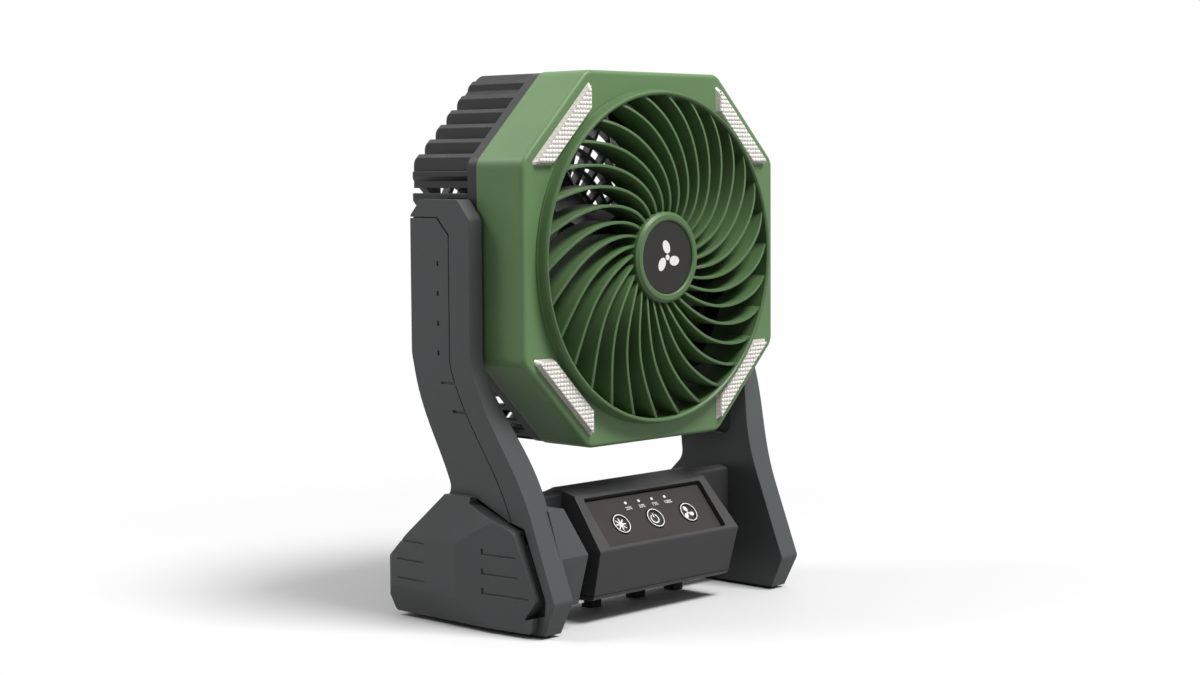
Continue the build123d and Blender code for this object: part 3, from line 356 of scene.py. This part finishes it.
# clockwise from the upper right, as the fan is seen from the front
LIGHTS = ("light_upper_right", "light_lower_right", "light_lower_left", "light_upper_left")
finishes = {
    green_shell: ("front_shell",),
    green_grille_painted_shade: ("front_grille",),
    cage_grey: ("rear_cage", "rear_guard"),
    stand_grey: ("arm_frame_left", "arm_frame_right", "arm_cover_left", "arm_cover_right"),
    bar_grey_painted_shade: ("crossbar_shell", "crossbar_base"),
    rotor_black: ("fan_rotor",),
    badge_black: ("hub_badge",),
    panel_film: ("control_panel",),
    button_dark: ("light_button", "power_button", "fan_button"),
    print_white: ("indicator_lights",),
    rubber_black: ("foot_pad_left", "foot_pad_right", "bar_feet", "tilt_washer_left", "tilt_washer_right"),
    nylon_white: ("pivot_bush_left", "pivot_bush_right"),
    switch_black: ("button_switches",),
    board_white: ("led_boards", "control_board"),
    cell_blue: ("battery_cells_left", "battery_cells_right"),
    plated_steel: ("motor_screws", "base_screws", "rotor_shaft", "tilt_pin_left", "tilt_pin_right",
                   "pivot_screw_left", "pivot_screw_right", "charge_port"),
    motor_steel: ("motor_can",),
    lamp_cover: LIGHTS,
}
for material, names in finishes.items():
    for name in names:
        for slot in nodes[name].material_slots:
            slot.material = material


# ---- placing new pieces ----

def finish_piece(name, mesh_data, material, body):
    """Turns a bmesh into a piece that rides on a body."""
    bmesh.ops.remove_doubles(mesh_data, verts=mesh_data.verts, dist=1e-7)
    bmesh.ops.recalc_face_normals(mesh_data, faces=mesh_data.faces)
    mesh = bpy.data.meshes.new(name)
    mesh_data.to_mesh(mesh)
    mesh_data.free()
    piece = bpy.data.objects.new(name, mesh)
    bpy.context.scene.collection.objects.link(piece)
    mesh.materials.append(material)
    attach(piece, body)


def drawing_matrix(across, upward, outward, origin):
    """Places a flat drawing: its x goes across, its y upward and its thickness outward."""
    matrix = Matrix((across, upward, outward)).transposed().to_4x4()
    matrix.translation = origin
    return matrix


def face_matrix(y, turn=0.0):
    """Places a flat drawing on the head, facing the front, turned clockwise by turn degrees."""
    across = Vector((cos(radians(turn)), 0, -sin(radians(turn))))
    outward = Vector((0, -1, 0))
    return drawing_matrix(across, outward.cross(across), outward, Vector((0, y, HEAD_Z)))


def panel_matrix(height, across=0.0, up=0.0):
    """Places a flat drawing on the control face."""
    outward = Vector((0, -sin(FACE_LEAN), cos(FACE_LEAN)))
    upward = Vector((0, cos(FACE_LEAN), sin(FACE_LEAN)))
    origin = (BROW + NOSE) / 2 + outward * height + Vector((across, 0, 0)) + upward * up
    return drawing_matrix(Vector((1, 0, 0)), upward, outward, origin)


# ---- printed signs ----

def raise_faces(mesh_data, faces, thick):
    """Gives flat faces a thickness."""
    lifted = bmesh.ops.extrude_face_region(mesh_data, geom=faces)
    verts = [item for item in lifted["geom"] if isinstance(item, bmesh.types.BMVert)]
    bmesh.ops.translate(mesh_data, verts=verts, vec=(0, 0, thick))


def flat_ring(mesh_data, radius, width, thick, gap=0.0):
    """A low ring, drawn before anything else, or an arc with a gap of gap radians at its top."""
    start = pi / 2 + gap / 2
    rims = (radius - width / 2, radius + width / 2)
    section = [mesh_data.verts.new((rim * cos(start), rim * sin(start), 0)) for rim in rims]
    edge = mesh_data.edges.new(section)
    bmesh.ops.spin(
        mesh_data, geom=[*section, edge], cent=(0, 0, 0), axis=(0, 0, 1), angle=2 * pi - gap,
        steps=72, use_merge=gap == 0.0,
    )
    raise_faces(mesh_data, list(mesh_data.faces), thick)


def flat_disc(mesh_data, radius, thick, centre=(0.0, 0.0), squash=(1.0, 1.0), turn=0.0, segments=40):
    """A low disc or oval."""
    verts = bmesh.ops.create_circle(mesh_data, cap_ends=True, radius=radius, segments=segments)["verts"]
    bmesh.ops.scale(mesh_data, verts=verts, vec=(*squash, 1))
    bmesh.ops.rotate(mesh_data, verts=verts, cent=(0, 0, 0), matrix=Matrix.Rotation(turn, 3, "Z"))
    bmesh.ops.translate(mesh_data, verts=verts, vec=(*centre, 0))
    raise_faces(mesh_data, list(verts[0].link_faces), thick)


def flat_bar(mesh_data, length, width, thick, out, turn=0.0, taper=1.0):
    """A low bar with its middle a distance out from the centre, narrower at its far end by taper."""
    verts = bmesh.ops.create_grid(mesh_data, x_segments=1, y_segments=1, size=0.5)["verts"]
    for vert in verts:
        vert.co.x *= width * (taper if vert.co.y > 0 else 1.0)
        vert.co.y *= length
    bmesh.ops.translate(mesh_data, verts=verts, vec=(0, out, 0))
    bmesh.ops.rotate(mesh_data, verts=verts, cent=(0, 0, 0), matrix=Matrix.Rotation(turn, 3, "Z"))
    raise_faces(mesh_data, list(verts[0].link_faces), thick)


def fan_blades(mesh_data, reach, thick):
    """Three broad blades round a small boss."""
    along, aside = 0.60 * reach, 0.10 * reach
    for step in range(3):
        angle = radians(90 + 120 * step)
        middle = (along * cos(angle) - aside * sin(angle), along * sin(angle) + aside * cos(angle))
        flat_disc(mesh_data, reach * 0.36, thick, centre=middle, squash=(1.12, 0.78), turn=angle + 0.5)
    flat_disc(mesh_data, reach * 0.16, thick)


def sun_rays(mesh_data, reach, thick):
    """A small disc with eight rays."""
    flat_disc(mesh_data, reach * 0.40, thick, segments=32)
    for step in range(8):
        turn = 2 * pi * step / 8
        flat_bar(mesh_data, reach * 0.52, reach * 0.22, thick, reach * 0.70, turn=turn, taper=0.55)


def power_mark(mesh_data, reach, thick):
    """An open ring with a bar in its gap."""
    flat_ring(mesh_data, reach * 0.78, reach * 0.20, thick, gap=radians(62))
    flat_bar(mesh_data, reach * 0.80, reach * 0.20, thick, reach * 0.62)


def print_on(name, drawing, matrix, body):
    """Puts a finished drawing in its place as a white print that rides on a body."""
    bmesh.ops.transform(drawing, matrix=matrix, verts=drawing.verts)
    finish_piece(name, drawing, print_white, body)


def printed_number(name, words, matrix):
    """A raised number on the panel, made a mesh before it is placed."""
    text = bpy.data.curves.new(name, "FONT")
    text.body = words
    text.size = NUMBER_HEIGHT
    text.align_x = "CENTER"
    text.align_y = "CENTER"
    text.extrude = NUMBER_RAISE
    holder = bpy.data.objects.new(name, text)
    bpy.context.scene.collection.objects.link(holder)
    bpy.context.view_layer.update()
    mesh = bpy.data.meshes.new_from_object(holder.evaluated_get(bpy.context.evaluated_depsgraph_get()))
    bpy.data.objects.remove(holder)
    drawing = bmesh.new()
    drawing.from_mesh(mesh)
    print_on(name, drawing, matrix, "stand")


for step, body, mark, reach in (
    (-1, "light_button", sun_rays, 4.1 * MM),
    (0, "power_button", power_mark, 3.4 * MM),
    (1, "fan_button", fan_blades, 4.4 * MM),
):
    across = step * BUTTON_PITCH
    ring = bmesh.new()
    flat_ring(ring, RING_RADIUS, RING_WIDTH, PRINT_THICK)
    print_on(body + "_ring", ring, panel_matrix(BUTTON_TOP - PRINT_SUNK, across, BUTTON_DROP), body)
    sign = bmesh.new()
    mark(sign, reach, PRINT_THICK)
    print_on(body + "_sign", sign, panel_matrix(DISH_FLOOR - PRINT_SUNK, across, BUTTON_DROP), body)

for step, words in enumerate(("25%", "50%", "75%", "100%")):
    across = (step - 1.5) * NUMBER_PITCH + NUMBER_SHIFT
    place = panel_matrix(FILM_TOP + NUMBER_RAISE, across, NUMBER_UP)
    printed_number("charge_" + words.strip("%"), words, place)

hub_sign = bmesh.new()
fan_blades(hub_sign, HUB_SIGN_REACH, HUB_SIGN_THICK)
print_on("hub_sign", hub_sign, face_matrix(BADGE_FRONT + HUB_SIGN_SUNK), "head")


# ---- pebbled lamp covers ----

def pebble_sheet(name, turn):
    """A thin sheet of small pillows over one lamp cover, cut to its outline."""
    sheet = bmesh.new()
    half = (LAMP_REACH - LAMP_NEAR) / 2 + PEBBLE_PITCH
    middle = (LAMP_REACH + LAMP_NEAR) / 2
    bmesh.ops.create_grid(sheet, x_segments=PEBBLE_SHEET_CELLS, y_segments=PEBBLE_SHEET_CELLS, size=half)
    bmesh.ops.translate(sheet, verts=sheet.verts, vec=(middle, middle, 0))
    outer = (LAMP_NEAR + LAMP_REACH) / 2
    inner = (LAMP_NEAR + LAMP_INNER) / 2
    for point, normal in (
        ((LAMP_NEAR, 0, 0), (-1, 0, 0)), ((0, LAMP_NEAR, 0), (0, -1, 0)),
        ((outer, outer, 0), (1, 1, 0)), ((inner, inner, 0), (-1, -1, 0)),
    ):
        whole = [*sheet.verts, *sheet.edges, *sheet.faces]
        bmesh.ops.bisect_plane(sheet, geom=whole, plane_co=point, plane_no=normal, clear_outer=True)
    inside = [vert for vert in sheet.verts if not vert.is_boundary]
    spin = radians(turn)
    for vert in inside:
        # rows stay level on the head, whichever corner the cover is in
        across = vert.co.x * cos(spin) + vert.co.y * sin(spin)
        up = -vert.co.x * sin(spin) + vert.co.y * cos(spin)
        pillow = abs(cos(pi * across / PEBBLE_PITCH) * cos(pi * up / PEBBLE_PITCH)) ** 0.7
        vert.co.z = PEBBLE_HEIGHT * pillow
    bottom = bmesh.ops.extrude_face_region(sheet, geom=list(sheet.faces))
    lowered = [item for item in bottom["geom"] if isinstance(item, bmesh.types.BMVert)]
    for vert in lowered:
        vert.co.z = -PEBBLE_SHEET_DEPTH
    bmesh.ops.transform(sheet, matrix=face_matrix(PEBBLE_BASE, turn), verts=sheet.verts)
    finish_piece(name, sheet, lamp_cover, "head")


for name, turn in zip(LIGHTS, (0, 90, 180, 270)):
    pebble_sheet(name + "_pebbles", turn)


# ---- camera, floor and light ----

CAMERA_PLACE = Vector((-883.2, -850.9, 243.0)) * MM
CAMERA_AZIMUTH = radians(-46.02)
CAMERA_PITCH = radians(4.39)        # downwards
CAMERA_ROLL = radians(-0.37)
CAMERA_LENS = 65.72                 # on a sensor 36 mm wide
WHITE = (1.0, 1.0, 1.0, 1.0)
FLOOR_SEEN = (0.64, 0.64, 0.64, 1)
FLOOR_UNSEEN = (0.30, 0.30, 0.30, 1)
FLOOR_FADE = (0.14, 0.60)           # distances from the middle between which the floor turns white
FLOOR_HALF = 6.0
SKY_LOW = 0.16
SKY_HIGH = 0.50


def place_camera():
    """The camera of the main view."""
    azimuth, pitch, roll = CAMERA_AZIMUTH, CAMERA_PITCH, CAMERA_ROLL
    forward = Vector((-sin(azimuth) * cos(pitch), cos(azimuth) * cos(pitch), -sin(pitch)))
    level = Vector((cos(azimuth), sin(azimuth), 0))
    upright = level.cross(forward)
    right = level * cos(roll) + upright * sin(roll)
    above = upright * cos(roll) - level * sin(roll)
    lens = bpy.data.cameras.new("camera")
    lens.sensor_width = 36.0
    lens.lens = CAMERA_LENS
    lens.clip_start = 0.05
    camera = bpy.data.objects.new("camera", lens)
    camera.matrix_world = drawing_matrix(right, above, -forward, CAMERA_PLACE)
    bpy.context.scene.collection.objects.link(camera)
    bpy.context.scene.camera = camera


def area_light(name, place, target, size, power):
    """A soft rectangular lamp aimed at target."""
    lamp = bpy.data.lights.new(name, "AREA")
    lamp.shape = "RECTANGLE"
    lamp.size, lamp.size_y = size
    lamp.energy = power
    holder = bpy.data.objects.new(name, lamp)
    place = Vector(place)
    aim = (Vector(target) - place).to_track_quat("-Z", "Y")
    holder.matrix_world = Matrix.Translation(place) @ aim.to_matrix().to_4x4()
    bpy.context.scene.collection.objects.link(holder)


def shown_rays(tree):
    """1 for what the camera, reflections and clear pieces show, 0 for what only lights the object."""
    ray = add_node(tree, "ShaderNodeLightPath")
    mirrored = maths(tree, "MAXIMUM", ray.outputs["Is Camera Ray"], ray.outputs["Is Glossy Ray"])
    return maths(tree, "MAXIMUM", mirrored, ray.outputs["Is Transmission Ray"])


def mix_shaders(tree, factor, first, second):
    """The first shader where factor is 0 and the second where it is 1."""
    mix = add_node(tree, "ShaderNodeMixShader")
    for socket, source in zip(mix.inputs, (factor, first, second)):
        tree.links.new(source, socket)
    return mix.outputs[0]


def studio_floor():
    """A pale floor that takes the shadow and melts into the white surroundings."""
    floor = bmesh.new()
    bmesh.ops.create_grid(floor, x_segments=1, y_segments=1, size=FLOOR_HALF)
    mesh = bpy.data.meshes.new("studio_floor")
    floor.to_mesh(mesh)
    floor.free()
    sheet = bpy.data.objects.new("studio_floor", mesh)
    bpy.context.scene.collection.objects.link(sheet)
    material, tree, shader = blank_material("pale_floor")
    shader.inputs["Base Color"].default_value = FLOOR_SEEN
    shader.inputs["Roughness"].default_value = 0.7
    # a duller floor is what lights the fan from below
    dull = add_node(tree, "ShaderNodeBsdfDiffuse")
    dull.inputs["Color"].default_value = FLOOR_UNSEEN
    glow = add_node(tree, "ShaderNodeEmission", strength=1.0)
    glow.inputs["Color"].default_value = WHITE
    distance = add_node(tree, "ShaderNodeVectorMath", operation="LENGTH")
    tree.links.new(object_place(tree), distance.inputs[0])
    far = ramp(tree, distance.outputs["Value"], *FLOOR_FADE)
    seen = shown_rays(tree)
    near = mix_shaders(tree, seen, dull.outputs[0], shader.outputs[0])
    melted = mix_shaders(tree, maths(tree, "MULTIPLY", far, seen), near, glow.outputs[0])
    output = next(node for node in tree.nodes if node.bl_idname == "ShaderNodeOutputMaterial")
    tree.links.new(melted, output.inputs[0])
    mesh.materials.append(material)


def pale_world():
    """Soft surroundings, brighter overhead, that light the object; the camera and reflections see white."""
    world = bpy.data.worlds.new("pale_studio")
    bpy.context.scene.world = world
    world.use_nodes = True
    tree = world.node_tree
    tree.nodes.clear()
    light = add_node(tree, "ShaderNodeBackground")
    light.inputs["Color"].default_value = WHITE
    height = add_node(tree, "ShaderNodeSeparateXYZ")
    tree.links.new(add_node(tree, "ShaderNodeTexCoord").outputs["Generated"], height.inputs[0])
    tree.links.new(ramp(tree, height.outputs["Z"], 0.0, 0.9, SKY_LOW, SKY_HIGH), light.inputs["Strength"])
    seen = add_node(tree, "ShaderNodeBackground", strength=1.0)
    seen.inputs["Color"].default_value = WHITE
    mixed = mix_shaders(tree, shown_rays(tree), light.outputs[0], seen.outputs[0])
    tree.links.new(mixed, add_node(tree, "ShaderNodeOutputWorld").inputs[0])


place_camera()
studio_floor()
pale_world()
area_light("key", place=(0.25, -1.10, 2.00), target=(0, 0, 0.15), size=(0.9, 0.7), power=62)
area_light("side", place=(-0.58, 0.55, 0.95), target=(-0.05, 0, 0.2), size=(0.4, 0.4), power=5.0)
bpy.context.scene.view_settings.view_transform = "Standard"
